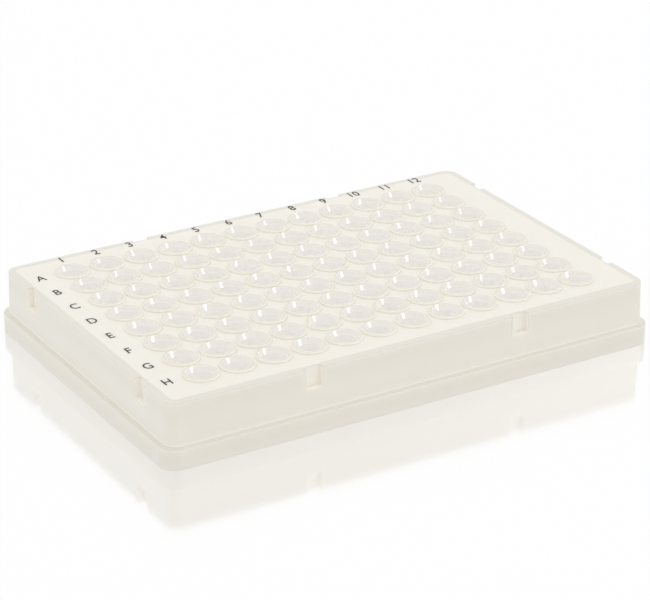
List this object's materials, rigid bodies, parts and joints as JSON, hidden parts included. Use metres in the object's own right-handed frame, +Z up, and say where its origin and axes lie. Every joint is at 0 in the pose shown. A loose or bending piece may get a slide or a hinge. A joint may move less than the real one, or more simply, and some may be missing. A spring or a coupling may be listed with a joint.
{
  "type": "well plate",
  "caption": "Low, fully skirted plate of small closed conical wells in a rectangular grid, for holding and heating liquid samples.",
  "frame": {"origin": "centre of the footprint, on the surface the plate stands on", "axes": "+X along a row from column 1 to column 12, +Y across the rows from row H to row A, +Z up out of the wells"},
  "size_m": [0.1278, 0.0854, 0.0157],
  "materials": {
    "natural_polypropylene": "satin, translucent natural polypropylene, glossier inside the wells"
  },
  "bodies": {
    "root": {"well_plate": "natural_polypropylene"}
  },
  "joints": []
}
